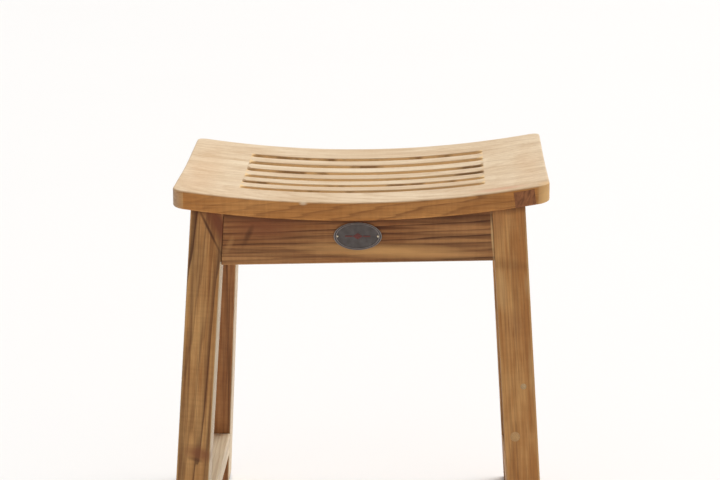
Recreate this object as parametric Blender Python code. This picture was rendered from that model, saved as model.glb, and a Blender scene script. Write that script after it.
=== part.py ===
"""Teak shower stool: a dished, slotted seat of seven boards on a mortised frame with splayed legs.

Metres, +Z up. The origin is on the floor, under the middle of the stool. The front is at -Y.
Plan sizes of the frame are given at rim height; everything in the frame moves outwards below it.
"""

import math

import bmesh
import bpy
from mathutils import Matrix, Vector

# Seat
SEAT_WIDTH = 0.4353
SEAT_DEPTH = 0.320
SEAT_OFFSET = 0.0040  # the seat is fixed a little to the right of the frame's middle
SEAT_THICKNESS = 0.0225
RIM_HEIGHT = 0.450  # lowest point of the front rim's top edge
DISH_RISE = 0.0186  # the dish along X, at half the seat's width from its lowest line
DISH_OFFSET = -0.018  # the hand-cut dish is lowest a little left of the frame's middle
SCOOP_DEPTH = 0.0033  # the dish along Y, in the top face only
CORNER_RADIUS = 0.013
SLOT_COUNT = 6
SLOT_PITCH = 0.0382
SLOT_WIDTH = 0.016
SLOT_LENGTH = 0.288
DISH_STEPS = 20
CORNER_STEPS = 4

# Frame
LEG_SIDE = 0.039
LEG_STANCE_X = 0.194  # outer faces of the legs at rim height
LEG_STANCE_Y = 0.133
SPLAY_X = 0.06  # metres outwards for each metre down
SPLAY_Y = 0.14
APRON_DROP = 0.0755  # rim to the underside of the aprons
APRON_THICKNESS = 0.020
APRON_RECESS = 0.001
STRETCHER_TOP = 0.0725
STRETCHER_HEIGHT = 0.030
STRETCHER_THICKNESS = 0.030
STRETCHER_RECESS = 0.0005
CLEAT_DROP = 0.038  # rim to the underside of the cleats
CLEAT_THICKNESS = 0.0165

# Joints
TENON_THICKNESS = 0.008
TENON_WALL = 0.003  # wood between the two tenons that meet in a leg
TENON_SETBACK = 0.008  # from the leg's outer face to the tenon of an apron
TENON_SHOULDER = 0.010  # above and below the tenon of an apron
STRETCHER_SHOULDER = 0.005
STRETCHER_TENON = 0.020
MORTISE_CLEARANCE = 0.0003
TOUCH_GAP = 0.0003
RELIEF_HEIGHT = 0.060

# Fasteners
SCREW_SIDES = 10
SCREW_RADIUS = 0.0019
SCREW_HEAD_RADIUS = 0.0038
SCREW_HEAD_HEIGHT = 0.0026
SCREW_CLEARANCE = 0.0003
SEAT_SCREW_REACH = 0.0205  # tip above the seat's lowest underside
CLEAT_SCREW_LENGTH = 0.028
CLEAT_SCREW_Y = 0.054
CLEAT_SCREW_DROP = 0.026
RIM_SCREW_LENGTH = 0.040
RIM_SCREW_X = 0.085
RIM_SCREW_BITE = 0.013  # how far a rim screw reaches into its seat board
PAD_SCREW_LENGTH = 0.020
CUTTER_REACH = 0.030

# Foot pads
PAD_RADIUS = 0.0145
PAD_THICKNESS = 0.004
PAD_SCREW_INSET = 0.0008
PAD_SIDES = 24

# Badge, plugs and patch on the front
BADGE_HALF_WIDTH = 0.028
BADGE_HALF_HEIGHT = 0.016
BADGE_PLATE = 0.0012
BADGE_RIM = 0.0021
BADGE_RIM_WIDTH = 0.0026
BADGE_DROP = 0.0451
BADGE_STEPS = 32
PIN_SPACING = 0.0476
PIN_RADIUS = 0.0006
PIN_HEAD_RADIUS = 0.0014
PIN_HEAD_HEIGHT = 0.0008
PIN_LENGTH = 0.010
PLUG_SIDES = 20
PLUG_DEPTH = 0.010
PLUG_CLEARANCE = 0.0002
LARGE_PLUG_RADIUS = 0.0056
LARGE_PLUG_HEIGHT = 0.1723
LARGE_PLUG_X = 0.1677  # at rim height, as the other plan sizes
SMALL_PLUG_RADIUS = 0.0033
SMALL_PLUG_HEIGHT = 0.231
SMALL_PLUG_X = 0.1805
PATCH_CENTRE_X = 0.1948
PATCH_LENGTH = 0.024
PATCH_DEPTH = 0.010
PATCH_COVER = 0.004  # board left above the patch

# Finish: colour, roughness, metallic
TEAK_TOP = ((0.62, 0.43, 0.26), 0.60, 0.0)
TEAK_FRAME = ((0.32, 0.17, 0.08), 0.55, 0.0)
TEAK_PALE = ((0.60, 0.42, 0.24), 0.60, 0.0)
TEAK_DARK = ((0.22, 0.10, 0.05), 0.60, 0.0)
ZINC = ((0.16, 0.16, 0.16), 0.45, 1.0)
BRASS = ((0.62, 0.45, 0.22), 0.35, 1.0)
STAINLESS = ((0.60, 0.60, 0.58), 0.30, 1.0)
RUBBER = ((0.03, 0.03, 0.03), 0.80, 0.0)

HALF_WIDTH = SEAT_WIDTH / 2
HALF_DEPTH = SEAT_DEPTH / 2
APRON_BOTTOM = RIM_HEIGHT - APRON_DROP
CLEAT_BOTTOM = RIM_HEIGHT - CLEAT_DROP
BADGE_HEIGHT = RIM_HEIGHT - BADGE_DROP
TENON_LENGTH = LEG_SIDE - TENON_SETBACK - TENON_THICKNESS - TENON_WALL
SEAT_SCREW_LENGTH = CLEAT_DROP - SEAT_THICKNESS + SEAT_SCREW_REACH
LEG_INNER_X = LEG_STANCE_X - LEG_SIDE
LEG_INNER_Y = LEG_STANCE_Y - LEG_SIDE
SIDES = (("left", -1), ("right", 1))
ENDS = (("front", -1), ("back", 1))


# ---------------------------------------------------------------- scene and objects


def clear_scene():
    for obj in list(bpy.data.objects):
        bpy.data.objects.remove(obj, do_unlink=True)


def new_collection(name):
    collection = bpy.data.collections.new(name)
    bpy.context.scene.collection.children.link(collection)
    return collection


def add_object(name, mesh, collection, finish=None):
    obj = bpy.data.objects.new(name, mesh)
    collection.objects.link(obj)
    if finish:
        mesh.materials.append(new_material(name, finish))
    return obj


def new_material(name, finish):
    colour, roughness, metallic = finish
    material = bpy.data.materials.new(name)
    material.use_nodes = True
    shader = material.node_tree.nodes["Principled BSDF"]
    shader.inputs["Base Color"].default_value = (*colour, 1)
    shader.inputs["Roughness"].default_value = roughness
    shader.inputs["Metallic"].default_value = metallic
    return material


def add_cutter(name, mesh):
    obj = add_object(name, mesh, CUTTERS)
    obj.hide_render = True
    obj.display_type = "WIRE"
    return obj


def boolean(piece, other, operation="DIFFERENCE"):
    modifier = piece.modifiers.new(other.name, "BOOLEAN")
    modifier.operation = operation
    modifier.solver = "EXACT"
    modifier.object = other


def outline_mesh(name, points, thickness):
    """A closed flat outline in XY, extruded to the given thickness about z = 0."""
    curve = bpy.data.curves.new(name, "CURVE")
    curve.dimensions = "2D"
    curve.fill_mode = "BOTH"
    curve.extrude = thickness / 2
    spline = curve.splines.new("POLY")
    spline.points.add(len(points) - 1)
    for point, (x, y) in zip(spline.points, points):
        point.co = (x, y, 0, 1)
    spline.use_cyclic_u = True
    obj = add_object(name, curve, CUTTERS)
    bpy.context.view_layer.update()
    evaluated = obj.evaluated_get(bpy.context.evaluated_depsgraph_get())
    mesh = bpy.data.meshes.new_from_object(evaluated)
    bpy.data.objects.remove(obj, do_unlink=True)
    edit = bmesh.new()
    edit.from_mesh(mesh)
    bmesh.ops.remove_doubles(edit, verts=edit.verts, dist=0.00001)
    bmesh.ops.recalc_face_normals(edit, faces=edit.faces)
    edit.to_mesh(mesh)
    edit.free()
    return mesh


def turned_mesh(name, profile, sides):
    """A solid turned about Z. The profile runs up from the axis, out and back to the axis."""
    edit = bmesh.new()
    verts = [edit.verts.new((radius, 0, z)) for radius, z in profile]
    edges = [edit.edges.new(pair) for pair in zip(verts, verts[1:])]
    bmesh.ops.spin(edit, geom=verts + edges, cent=(0, 0, 0), axis=(0, 0, 1),
                   angle=math.tau, steps=sides, use_merge=True)
    bmesh.ops.remove_doubles(edit, verts=edit.verts, dist=0.00001)
    bmesh.ops.recalc_face_normals(edit, faces=edit.faces)
    mesh = bpy.data.meshes.new(name)
    edit.to_mesh(mesh)
    edit.free()
    mesh.shade_smooth()
    mesh.set_sharp_from_angle(angle=math.radians(40))
    return mesh


# ---------------------------------------------------------------- shared geometry


def dish(x):
    """Height of the seat's curve above its lowest line."""
    return DISH_RISE * ((x - DISH_OFFSET) / HALF_WIDTH) ** 2


def scoop(y):
    """Depth of the hollow across the seat: none at the rims, deepest in the middle."""
    return SCOOP_DEPTH * (1 + math.cos(math.pi * y / HALF_DEPTH)) / 2


def seat_top(x, y):
    return RIM_HEIGHT + dish(x) - scoop(y)


def seat_underside(x):
    return RIM_HEIGHT - SEAT_THICKNESS + dish(x)


def dish_stations():
    places = [HALF_WIDTH * (2 * step / DISH_STEPS - 1) for step in range(DISH_STEPS + 1)]
    return [SEAT_OFFSET + place for place in places]


def arc(centre, radius, start, end, steps):
    angles = [math.radians(start + (end - start) * i / steps) for i in range(steps + 1)]
    return [(centre[0] + radius * math.cos(a), centre[1] + radius * math.sin(a)) for a in angles]


def splayed(x, y, z):
    """A point of the frame: plan place at rim height, moved outwards with its depth."""
    drop = RIM_HEIGHT - z
    return (x + math.copysign(SPLAY_X, x) * drop, y + math.copysign(SPLAY_Y, y) * drop, z)


def splayed_mesh(name, xs, ys, zs):
    """A block between two plan places along X and Y and two heights, splayed as the legs are."""
    edit = bmesh.new()
    bmesh.ops.create_cube(edit, size=1)
    for vert in edit.verts:
        vert.co = splayed(*(pair[side > 0] for pair, side in zip((xs, ys, zs), vert.co)))
    bmesh.ops.recalc_face_normals(edit, faces=edit.faces)
    mesh = bpy.data.meshes.new(name)
    edit.to_mesh(mesh)
    edit.free()
    return mesh


def grown(pair, amount):
    return (min(pair) - amount, max(pair) + amount)


def outward(side, inner, outer):
    """The pair of signed places between an inner and an outer distance on one side."""
    return tuple(sorted((side * inner, side * outer)))


# ---------------------------------------------------------------- seat


def slot_edge(y, side):
    """One long edge of a board from left to right, with half a slot cut into it.

    The side is +1 where the board's wood lies at higher Y than this edge.
    """
    radius = SLOT_WIDTH / 2
    tip = SLOT_LENGTH / 2
    left = arc((radius - tip, y), radius, 180, 180 - side * 90, CORNER_STEPS)
    right = arc((tip - radius, y), radius, side * 90, 0, CORNER_STEPS)
    return [(-HALF_WIDTH, y), *left, *right, (HALF_WIDTH, y)]


def slat_outline(centre):
    half = SLOT_PITCH / 2 - TOUCH_GAP / 2
    return slot_edge(centre - half, 1) + slot_edge(centre + half, -1)[::-1]


def rim_outline(side):
    """The front (-1) or back (+1) board, with its two rounded corners."""
    inner = side * (SLOT_PITCH * (SLOT_COUNT - 1) / 2 + TOUCH_GAP / 2)
    outer = side * (HALF_DEPTH - CORNER_RADIUS)
    turn = CORNER_RADIUS - HALF_WIDTH
    left = arc((turn, outer), CORNER_RADIUS, side * 90, side * 180, CORNER_STEPS)
    right = arc((-turn, outer), CORNER_RADIUS, 0, side * 90, CORNER_STEPS)
    return slot_edge(inner, side) + right + left


def dish_board(mesh):
    """Cuts a flat board at the dish's stations and bends it to the seat's two faces."""
    edit = bmesh.new()
    edit.from_mesh(mesh)
    cuts = [((x, 0, 0), (1, 0, 0)) for x in dish_stations()[1:-1]]
    cuts += [((0, side * HALF_DEPTH * part, 0), (0, 1, 0)) for side in (-1, 1) for part in (0.75, 0.9)]
    for place, normal in cuts:
        geometry = edit.verts[:] + edit.edges[:] + edit.faces[:]
        bmesh.ops.bisect_plane(edit, geom=geometry, plane_co=place, plane_no=normal, dist=0.00001)
    for vert in edit.verts:
        x, y, z = vert.co
        vert.co.z = seat_top(x, y) if z > 0 else seat_underside(x)
    bmesh.ops.triangulate(edit, faces=edit.faces)
    edit.to_mesh(mesh)
    edit.free()


def seat_board(name, outline):
    mesh = outline_mesh(name, outline, SEAT_THICKNESS)
    mesh.transform(Matrix.Translation((SEAT_OFFSET, 0, 0)))
    dish_board(mesh)
    return add_object(name, mesh, STOOL, TEAK_TOP)


def seat_boards():
    boards = {}
    for end, side in ENDS:
        boards[end] = seat_board(f"seat_{end}_board", rim_outline(side))
    for number in range(SLOT_COUNT - 1):
        centre = SLOT_PITCH * (number - (SLOT_COUNT - 2) / 2)
        boards[number] = seat_board(f"seat_slat_{number + 1}", slat_outline(centre))
    return boards


def seat_patch(board):
    """A block let into the underside of the front edge, near its right end."""
    slope = math.atan(2 * DISH_RISE * (PATCH_CENTRE_X - DISH_OFFSET) / HALF_WIDTH**2)
    height = SEAT_THICKNESS - PATCH_COVER
    corner = Vector((PATCH_CENTRE_X, -HALF_DEPTH, seat_underside(PATCH_CENTRE_X)))
    turn = Matrix.Translation(corner) @ Matrix.Rotation(-slope, 4, "Y")

    def block(grow, reach):
        size = Vector((PATCH_LENGTH + 2 * grow, PATCH_DEPTH + grow + reach, height + grow + reach))
        middle = Vector((0, (PATCH_DEPTH + grow - reach) / 2, (height + grow - reach) / 2))
        edit = bmesh.new()
        bmesh.ops.create_cube(edit, size=1, matrix=Matrix.LocRotScale(middle, None, size))
        mesh = bpy.data.meshes.new("seat_patch")
        edit.to_mesh(mesh)
        edit.free()
        return mesh

    patch = add_object("seat_patch", block(0, 0), STOOL, TEAK_DARK)
    pocket = add_cutter("seat_patch_pocket", block(TOUCH_GAP, CUTTER_REACH))
    patch.matrix_world = turn
    pocket.matrix_world = turn
    boolean(board, pocket)


# ---------------------------------------------------------------- frame


def seat_relief():
    """Takes away whatever of the frame stands higher than just under the seat."""
    under = [(x, seat_underside(x) - TOUCH_GAP) for x in dish_stations()]
    top = RIM_HEIGHT + RELIEF_HEIGHT
    points = under + [(under[-1][0], top), (under[0][0], top)]
    relief = add_cutter("seat_relief", outline_mesh("seat_relief", points, 2 * SEAT_DEPTH))
    relief.rotation_euler = (math.pi / 2, 0, 0)
    return relief


def legs(relief):
    found = {}
    for end, front in ENDS:
        for side, right in SIDES:
            mesh = splayed_mesh(
                f"leg_{end}_{side}",
                outward(right, LEG_INNER_X, LEG_STANCE_X),
                outward(front, LEG_INNER_Y, LEG_STANCE_Y),
                (PAD_THICKNESS, RIM_HEIGHT + DISH_RISE),
            )
            leg = add_object(mesh.name, mesh, STOOL, TEAK_FRAME)
            boolean(leg, relief)
            found[end, side] = leg
    return found


def rail(name, body, tenon, mates, relief=None):
    """A rail with a tenon at each end, and the mortises for it in the two legs."""
    piece = add_object(name, splayed_mesh(name, *body), STOOL, TEAK_FRAME)
    boolean(piece, add_cutter(f"{name}_tenon", splayed_mesh(f"{name}_tenon", *tenon)), "UNION")
    if relief:
        boolean(piece, relief)
    room = [grown(pair, MORTISE_CLEARANCE) for pair in tenon]
    mortise = add_cutter(f"{name}_mortise", splayed_mesh(f"{name}_mortise", *room))
    for leg in mates:
        boolean(leg, mortise)
    return piece


def aprons(stand, relief):
    found = {}
    heights = (APRON_BOTTOM, RIM_HEIGHT + DISH_RISE)
    low = APRON_BOTTOM + TENON_SHOULDER
    tenon_heights = (low, RIM_HEIGHT - SEAT_THICKNESS - TENON_SHOULDER)
    reach_x = LEG_INNER_X + TENON_LENGTH
    reach_y = LEG_INNER_Y + TENON_LENGTH
    between_x = LEG_INNER_X - TOUCH_GAP
    between_y = LEG_INNER_Y - TOUCH_GAP

    def layers(stance):
        face = stance - APRON_RECESS
        tongue = stance - TENON_SETBACK
        return (face - APRON_THICKNESS, face), (tongue - TENON_THICKNESS, tongue)

    for end, front in ENDS:
        board, tongue = layers(LEG_STANCE_Y)
        body = ((-between_x, between_x), outward(front, *board), heights)
        tenon = ((-reach_x, reach_x), outward(front, *tongue), tenon_heights)
        mates = [stand[end, side] for side, _ in SIDES]
        found[end] = rail(f"apron_{end}", body, tenon, mates, relief)
    for side, right in SIDES:
        board, tongue = layers(LEG_STANCE_X)
        body = (outward(right, *board), (-between_y, between_y), heights)
        tenon = (outward(right, *tongue), (-reach_y, reach_y), tenon_heights)
        mates = [stand[end, side] for end, _ in ENDS]
        found[side] = rail(f"apron_{side}", body, tenon, mates, relief)
    return found


def stretchers(stand):
    bottom = STRETCHER_TOP - STRETCHER_HEIGHT
    inner = LEG_INNER_X + STRETCHER_RECESS
    middle = inner + STRETCHER_THICKNESS / 2
    between = LEG_INNER_Y - TOUCH_GAP
    reach = LEG_INNER_Y + STRETCHER_TENON
    tongue = (middle - TENON_THICKNESS / 2, middle + TENON_THICKNESS / 2)
    for side, right in SIDES:
        body = (
            outward(right, inner, inner + STRETCHER_THICKNESS),
            (-between, between),
            (bottom, STRETCHER_TOP),
        )
        tenon = (
            outward(right, *tongue),
            (-reach, reach),
            (bottom + STRETCHER_SHOULDER, STRETCHER_TOP - STRETCHER_SHOULDER),
        )
        rail(f"stretcher_{side}", body, tenon, [stand[end, side] for end, _ in ENDS])


def cleats(relief):
    """Strips inside the side aprons that the seat's slats are screwed to."""
    found = {}
    outer = LEG_STANCE_X - APRON_RECESS - APRON_THICKNESS - TOUCH_GAP
    reach = LEG_INNER_Y - TOUCH_GAP
    for side, right in SIDES:
        mesh = splayed_mesh(
            f"seat_cleat_{side}",
            outward(right, outer - CLEAT_THICKNESS, outer),
            (-reach, reach),
            (CLEAT_BOTTOM, RIM_HEIGHT + DISH_RISE),
        )
        cleat = add_object(mesh.name, mesh, STOOL, TEAK_FRAME)
        boolean(cleat, relief)
        found[side] = cleat
    return found


# ---------------------------------------------------------------- fasteners


def screw_profile(length, grow=0.0, sunk=0.0):
    """A countersunk screw along +Z with its head's flat face at z = 0."""
    shank = SCREW_RADIUS + grow
    head = SCREW_HEAD_RADIUS + grow
    return [
        (0, -sunk),
        (head, -sunk),
        (head, grow),
        (shank, SCREW_HEAD_HEIGHT + grow),
        (shank, length - SCREW_RADIUS + grow),
        (0, length + grow),
    ]


def screw(name, head, direction, length, pieces, sunk=CUTTER_REACH):
    """A screw from its head's place along a direction, and its hole in each piece."""
    turn = Vector(direction).to_track_quat("Z", "Y")
    body = add_object(name, turned_mesh(name, screw_profile(length), SCREW_SIDES), STOOL, STAINLESS)
    hole_mesh = turned_mesh(name, screw_profile(length, SCREW_CLEARANCE, sunk), SCREW_SIDES)
    hole = add_cutter(f"{name}_hole", hole_mesh)
    for obj in (body, hole):
        obj.rotation_mode = "QUATERNION"
        obj.rotation_quaternion = turn
        obj.location = head
    for piece in pieces:
        boolean(piece, hole)


def cleat_screws(cleat, apron, boards):
    outer = LEG_STANCE_X - APRON_RECESS - APRON_THICKNESS - TOUCH_GAP
    middle = outer - CLEAT_THICKNESS / 2
    for side, right in SIDES:
        for end, front in ENDS:
            face = outer - CLEAT_THICKNESS + SPLAY_X * CLEAT_SCREW_DROP
            place = (right * face, front * CLEAT_SCREW_Y, RIM_HEIGHT - CLEAT_SCREW_DROP)
            name = f"cleat_screw_{side}_{end}"
            screw(name, place, (right, 0, 0), CLEAT_SCREW_LENGTH, [cleat[side], apron[side]])
        for number in range(SLOT_COUNT - 1):
            y = SLOT_PITCH * (number - (SLOT_COUNT - 2) / 2)
            x = right * (middle + SPLAY_X * CLEAT_DROP)
            name = f"seat_screw_{side}_{number + 1}"
            pieces = [cleat[side], boards[number]]
            screw(name, (x, y, CLEAT_BOTTOM), (0, 0, 1), SEAT_SCREW_LENGTH, pieces)


def rim_screws(apron, boards):
    """Screws sunk deep into the underside of the front and back aprons, up into the seat."""
    middle = LEG_STANCE_Y - APRON_RECESS - APRON_THICKNESS / 2
    for end, front in ENDS:
        for side, right in SIDES:
            x = right * RIM_SCREW_X
            tip = seat_underside(x) + RIM_SCREW_BITE
            rise = Vector((0, -front * SPLAY_Y, 1)).normalized()
            top = Vector((x, front * (middle + SPLAY_Y * (RIM_HEIGHT - tip)), tip))
            place = top - rise * RIM_SCREW_LENGTH
            pieces = [apron[end], boards[end]]
            screw(f"rim_screw_{end}_{side}", place, rise, RIM_SCREW_LENGTH, pieces, 2 * CUTTER_REACH)


def foot_pads(stand):
    top = PAD_THICKNESS - TOUCH_GAP
    profile = [(0, 0), (PAD_RADIUS, 0), (PAD_RADIUS, top), (0, top)]
    for (end, side), leg in stand.items():
        front = dict(ENDS)[end]
        right = dict(SIDES)[side]
        plan = (right * (LEG_STANCE_X - LEG_SIDE / 2), front * (LEG_STANCE_Y - LEG_SIDE / 2))
        x, y, _ = splayed(*plan, PAD_THICKNESS)
        name = f"foot_pad_{end}_{side}"
        pad = add_object(name, turned_mesh(name, profile, PAD_SIDES), STOOL, RUBBER)
        pad.location = (x, y, 0)
        head = (x, y, PAD_SCREW_INSET)
        screw(f"foot_screw_{end}_{side}", head, (0, 0, 1), PAD_SCREW_LENGTH, [pad, leg])


# ---------------------------------------------------------------- front details


def front_face_place(x, height, proud=0.0):
    """A place on the front apron's outer face and the turn that makes +Z point out of it."""
    y = -(LEG_STANCE_Y - APRON_RECESS + SPLAY_Y * (RIM_HEIGHT - height))
    out = Vector((0, -1, SPLAY_Y)).normalized()
    lean = Matrix((Vector((1, 0, 0)), out.cross(Vector((1, 0, 0))), out)).transposed()
    return Vector((x, y, height)) + out * proud, lean.to_quaternion()


def stand_off(obj, place, turn):
    obj.rotation_mode = "QUATERNION"
    obj.rotation_quaternion = turn
    obj.location = place


def badge(apron):
    """A plain oval plate with a raised rim, held by two round-headed pins."""
    inner = BADGE_HALF_WIDTH - BADGE_RIM_WIDTH
    profile = [
        (0, 0),
        (BADGE_HALF_WIDTH, 0),
        (BADGE_HALF_WIDTH, BADGE_RIM - BADGE_PLATE / 2),
        (BADGE_HALF_WIDTH - BADGE_RIM_WIDTH / 2, BADGE_RIM),
        (inner, BADGE_PLATE),
        (0, BADGE_PLATE),
    ]
    mesh = turned_mesh("badge_plate", profile, BADGE_STEPS)
    mesh.transform(Matrix.Diagonal((1, BADGE_HALF_HEIGHT / BADGE_HALF_WIDTH, 1, 1)))
    plate = add_object("badge_plate", mesh, STOOL, ZINC)
    stand_off(plate, *front_face_place(0, BADGE_HEIGHT, TOUCH_GAP))
    for side, right in SIDES:
        badge_pin(f"badge_pin_{side}", right * PIN_SPACING / 2, [plate, apron])


def badge_pin(name, x, pieces):
    def profile(grow):
        under = TOUCH_GAP if not grow else -grow
        return [
            (0, -PIN_LENGTH - grow),
            (PIN_RADIUS + grow, PIN_RADIUS - PIN_LENGTH - grow),
            (PIN_RADIUS + grow, under if not grow else PIN_HEAD_HEIGHT),
            *([(PIN_HEAD_RADIUS, under), (PIN_HEAD_RADIUS * 0.7, PIN_HEAD_HEIGHT)] if not grow else []),
            (0, PIN_HEAD_HEIGHT + grow),
        ]

    place, turn = front_face_place(x, BADGE_HEIGHT, TOUCH_GAP + BADGE_PLATE)
    pin = add_object(name, turned_mesh(name, profile(0), SCREW_SIDES), STOOL, BRASS)
    hole = add_cutter(f"{name}_hole", turned_mesh(name, profile(TOUCH_GAP), SCREW_SIDES))
    for obj in (pin, hole):
        stand_off(obj, place, turn)
    for piece in pieces:
        boolean(piece, hole)


def leg_plug(name, plan_x, height, radius, leg):
    """A round wooden plug, flush in the front face of a leg."""
    def profile(grow, proud):
        return [
            (0, -PLUG_DEPTH - grow),
            (radius + grow, -PLUG_DEPTH - grow),
            (radius + grow, proud),
            (0, proud),
        ]

    drop = RIM_HEIGHT - height
    place, turn = front_face_place(plan_x + SPLAY_X * drop, height, APRON_RECESS)
    plug = add_object(name, turned_mesh(name, profile(0, 0), PLUG_SIDES), STOOL, TEAK_PALE)
    hole_mesh = turned_mesh(name, profile(PLUG_CLEARANCE, CUTTER_REACH), PLUG_SIDES)
    hole = add_cutter(f"{name}_hole", hole_mesh)
    for obj in (plug, hole):
        stand_off(obj, place, turn)
    boolean(leg, hole)


clear_scene()
STOOL = new_collection("shower_stool")
CUTTERS = new_collection("cutters")

RELIEF = seat_relief()
BOARDS = seat_boards()
LEGS = legs(RELIEF)
APRONS = aprons(LEGS, RELIEF)
CLEATS = cleats(RELIEF)
stretchers(LEGS)
seat_patch(BOARDS["front"])
cleat_screws(CLEATS, APRONS, BOARDS)
rim_screws(APRONS, BOARDS)
foot_pads(LEGS)
badge(APRONS["front"])
leg_plug("leg_plug_large", LARGE_PLUG_X, LARGE_PLUG_HEIGHT, LARGE_PLUG_RADIUS, LEGS["front", "right"])
leg_plug("leg_plug_small", SMALL_PLUG_X, SMALL_PLUG_HEIGHT, SMALL_PLUG_RADIUS, LEGS["front", "right"])
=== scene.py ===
"""Teak shower stool: eased and grained boards, legs and rails, a badge, plugs, screws and pads."""

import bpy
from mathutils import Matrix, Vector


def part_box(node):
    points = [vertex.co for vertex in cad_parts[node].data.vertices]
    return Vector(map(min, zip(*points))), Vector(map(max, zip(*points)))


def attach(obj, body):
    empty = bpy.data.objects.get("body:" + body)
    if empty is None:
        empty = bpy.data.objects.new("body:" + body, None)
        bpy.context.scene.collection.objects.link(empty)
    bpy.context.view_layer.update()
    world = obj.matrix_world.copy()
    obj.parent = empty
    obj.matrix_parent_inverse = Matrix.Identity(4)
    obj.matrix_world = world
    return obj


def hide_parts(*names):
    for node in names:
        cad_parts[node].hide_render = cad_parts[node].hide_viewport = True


bl_info = {
    "name": "Teak shower stool",
    "version": (1, 0, 0),
    "blender": (4, 5, 0),
    "location": "3D View > Sidebar > Shower stool",
    "description": "Builds the finished boards, legs, rails and fittings of a dished teak shower stool",
    "category": "Add Mesh",
}

import math
from collections import namedtuple

import bpy
from mathutils import Matrix, Quaternion, Vector

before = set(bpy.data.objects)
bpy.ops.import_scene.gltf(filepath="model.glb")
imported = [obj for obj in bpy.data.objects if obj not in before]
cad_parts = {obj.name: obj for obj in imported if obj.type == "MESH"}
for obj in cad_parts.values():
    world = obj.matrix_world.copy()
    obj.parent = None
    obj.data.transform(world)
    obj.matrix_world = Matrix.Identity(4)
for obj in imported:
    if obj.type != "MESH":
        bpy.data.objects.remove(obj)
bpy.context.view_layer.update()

BODY = "root"
SIDES = (("left", -1), ("right", 1))
ENDS = (("front", -1), ("back", 1))
SLATS = sorted(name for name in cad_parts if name.startswith("seat_slat_"))
BOARDS = ["seat_front_board", *SLATS, "seat_back_board"]
LEGS = [f"leg_{end}_{side}" for end, _ in ENDS for side, _ in SIDES]
SCREWS = sorted(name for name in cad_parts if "_screw_" in name)
PADS = [name.replace("leg", "foot_pad") for name in LEGS]


def limits(points):
    """The low and the high corner of the box round some points."""
    points = list(points)
    return [Vector(end(point[axis] for point in points) for axis in range(3)) for end in (min, max)]


SEAT_LOW, SEAT_HIGH = limits(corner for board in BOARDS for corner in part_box(board))
SLAT_LOW, SLAT_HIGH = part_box(SLATS[0])
APRON_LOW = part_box("apron_front")[0]
PLATE_LOW, PLATE_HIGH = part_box("badge_plate")

WELD = 0.00001  # points nearer than this are one
NEAR = 0.0001  # places nearer than this are the same
BOARD_GAP = 0.0003  # left between two packed boards

# ---------------------------------------------------------------- sizes and colours


def amount(label, text, default, **settings):
    return bpy.props.FloatProperty(name=label, description=text, default=default, **settings)


def length(label, text, metres, low=0.0):
    return amount(label, text, metres, min=low, unit="LENGTH", precision=5)


def angle(label, text, degrees):
    return amount(label, text, math.radians(degrees), subtype="ANGLE")


def colour(label, text, default):
    return bpy.props.FloatVectorProperty(
        name=label, description=text, default=default, size=3, min=0.0, max=1.0, subtype="COLOR"
    )


class StoolSeatSizes(bpy.types.PropertyGroup):
    rim_height: length("Rim height", "Lowest point of the front rim's top edge", 0.450)
    thickness: length("Thickness", "Of the seat boards at the rim", 0.0225)
    dish_rise: length("Dish rise", "Rise over half the seat's width", 0.0186)
    dish_offset: length("Dish offset", "Lowest line, from the middle", -0.018, -1.0)
    scoop_depth: length("Scoop depth", "Hollow of the top face from front to back", 0.0033)
    corner_radius: length("Corner radius", "Of the seat's four corners", 0.013)
    slot_width: length("Slot width", "Of the drain slots", 0.016)
    slot_length: length("Slot length", "Of the drain slots, end to end", 0.288)
    rim_arris: length("Rim arris", "Easing of the seat's outer edges", 0.0026)
    slot_arris: length("Slot arris", "Easing of the slots' edges", 0.0016)
    seam: length("Seam", "Glue line between two boards", 0.00004)


class StoolFrameSizes(bpy.types.PropertyGroup):
    splay_x: amount("Side splay", "Metres outwards for each metre down", 0.06)
    splay_y: amount("Front splay", "Metres outwards for each metre down", 0.14)
    leg_arris: length("Leg arris", "Easing of the legs' long edges", 0.0022)
    foot_arris: length("Foot arris", "Easing round the foot of a leg", 0.0015)
    rail_arris: length("Rail arris", "Easing of the rails' long edges", 0.0014)
    apron_slope: amount("Apron slope", "Rise to the right of the front apron's lower edge", 0.0204)
    apron_drop: length("Apron drop", "Of that edge at the middle", 0.0008)


class StoolBadgeSizes(bpy.types.PropertyGroup):
    half_width: length("Half width", "Of the oval plate", 0.028)
    half_height: length("Half height", "Of the oval plate", 0.016)
    rim_width: length("Rim width", "Of each of the two raised bands", 0.0012)
    rim_height: length("Rim height", "Of the raised bands above the field", 0.0009)
    plate: length("Plate", "Thickness of the field", 0.0012)
    pin_spacing: length("Pin spacing", "Between the two pins", 0.0476)
    pin_head: length("Pin head", "Radius of a pin's head", 0.0014)
    pin_shank: length("Pin shank", "Radius of a pin's shank", 0.0006)
    pin_length: length("Pin length", "Below the plate's field", 0.010)


class StoolFittingSizes(bpy.types.PropertyGroup):
    plug_length: length("Plug length", "Into the leg", 0.0098)
    plug_arris: length("Plug arris", "Easing of a plug's face", 0.0003)
    screw_head: length("Screw head", "Radius of the countersunk head", 0.0038)
    screw_rim: length("Screw rim", "Straight edge of the head", 0.0004)
    screw_neck: length("Screw neck", "Where the head ends and the shank starts", 0.0028)
    screw_tip: length("Screw tip", "Length of the point", 0.006)
    recess_arm: length("Recess arm", "Half the length of the cross recess", 0.0021)
    recess_width: length("Recess width", "Half the width of its arms", 0.0004)
    recess_depth: length("Recess depth", "Of the cross recess", 0.0013)
    pad_hole: length("Pad hole", "Radius of the hole through a foot pad", 0.0041)
    pad_groove: length("Pad groove", "Depth of the tread groove", 0.0007)
    pad_arris: length("Pad arris", "Easing of a pad's edge", 0.0005)


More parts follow.
